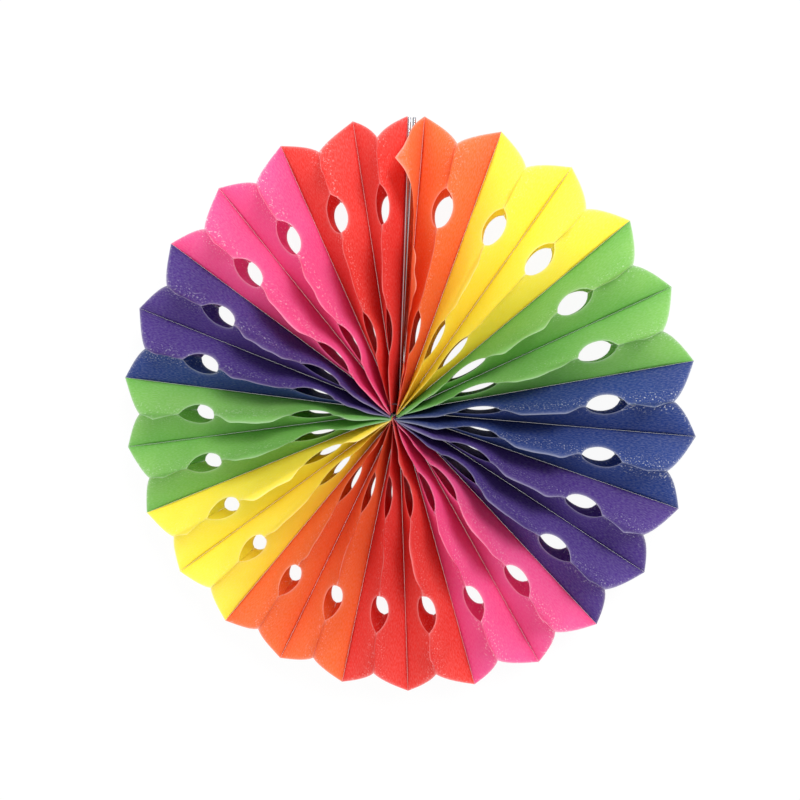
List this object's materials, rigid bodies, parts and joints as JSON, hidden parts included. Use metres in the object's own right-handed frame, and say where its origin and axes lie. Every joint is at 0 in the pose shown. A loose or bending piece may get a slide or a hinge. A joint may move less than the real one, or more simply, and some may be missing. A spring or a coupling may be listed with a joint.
{
  "type": "paper fan rosette",
  "caption": "Round two-sided rosette of glued, die-cut tissue leaves in rainbow colours, with pointed petals, rings of eye-shaped holes and slim rods along its seam.",
  "frame": {"origin": "on the fan's axis, at the plane that its back lobes rest on", "axes": "+Z along the fan's axis out of its front, +Y towards the rim end of the two seam rods, +X to their right seen from the front"},
  "size_m": [0.4481, 0.4498, 0.072],
  "materials": {
    "red_tissue": "red tissue paper, translucent, faint machine grain and glue specks",
    "pink_tissue": "pink tissue paper, translucent, faint machine grain and glue specks",
    "purple_tissue": "purple tissue paper, translucent, faint machine grain and glue specks",
    "blue_tissue": "blue tissue paper, translucent, faint machine grain and glue specks",
    "green_tissue": "green tissue paper, translucent, faint machine grain and glue specks",
    "yellow_tissue": "yellow tissue paper, translucent, faint machine grain and glue specks",
    "orange_tissue": "orange tissue paper, translucent, faint machine grain and glue specks",
    "rod_metal": "bright polished metal",
    "binding_thread": "dark twisted cotton thread"
  },
  "bodies": {
    "root": {"leaf_01_red": "red_tissue", "leaf_02_red": "red_tissue", "leaf_03_red": "red_tissue", "leaf_04_red": "red_tissue", "leaf_05_pink": "pink_tissue", "leaf_06_pink": "pink_tissue", "leaf_07_pink": "pink_tissue", "leaf_08_pink": "pink_tissue", "leaf_09_purple": "purple_tissue", "leaf_10_purple": "purple_tissue", "leaf_11_purple": "purple_tissue", "leaf_12_blue": "blue_tissue", "leaf_13_green": "green_tissue", "leaf_14_green": "green_tissue", "leaf_15_green": "green_tissue", "leaf_16_green": "green_tissue", "leaf_17_yellow": "yellow_tissue", "leaf_18_yellow": "yellow_tissue", "leaf_19_yellow": "yellow_tissue", "leaf_20_yellow": "yellow_tissue", "leaf_21_orange": "orange_tissue", "leaf_22_orange": "orange_tissue", "leaf_23_orange": "orange_tissue", "leaf_24_orange": "orange_tissue", "leaf_25_red": "red_tissue", "leaf_26_red": "red_tissue", "leaf_27_red": "red_tissue", "leaf_28_red": "red_tissue", "leaf_29_pink": "pink_tissue", "leaf_30_pink": "pink_tissue", "leaf_31_pink": "pink_tissue", "leaf_32_pink": "pink_tissue", "leaf_33_purple": "purple_tissue", "leaf_34_purple": "purple_tissue", "leaf_35_purple": "purple_tissue", "leaf_36_purple": "purple_tissue", "leaf_37_blue": "blue_tissue", "leaf_38_blue": "blue_tissue", "leaf_39_blue": "blue_tissue", "leaf_40_blue": "blue_tissue", "leaf_41_green": "green_tissue", "leaf_42_green": "green_tissue", "leaf_43_green": "green_tissue", "leaf_44_green": "green_tissue", "leaf_45_yellow": "yellow_tissue", "leaf_46_yellow": "yellow_tissue", "leaf_47_yellow": "yellow_tissue", "leaf_48_yellow": "yellow_tissue", "leaf_49_orange": "orange_tissue", "leaf_50_orange": "orange_tissue", "leaf_51_orange": "orange_tissue", "seam_rod_left": "rod_metal", "seam_rod_right": "rod_metal", "thread_front": "binding_thread", "thread_back": "binding_thread"}
  },
  "joints": []
}
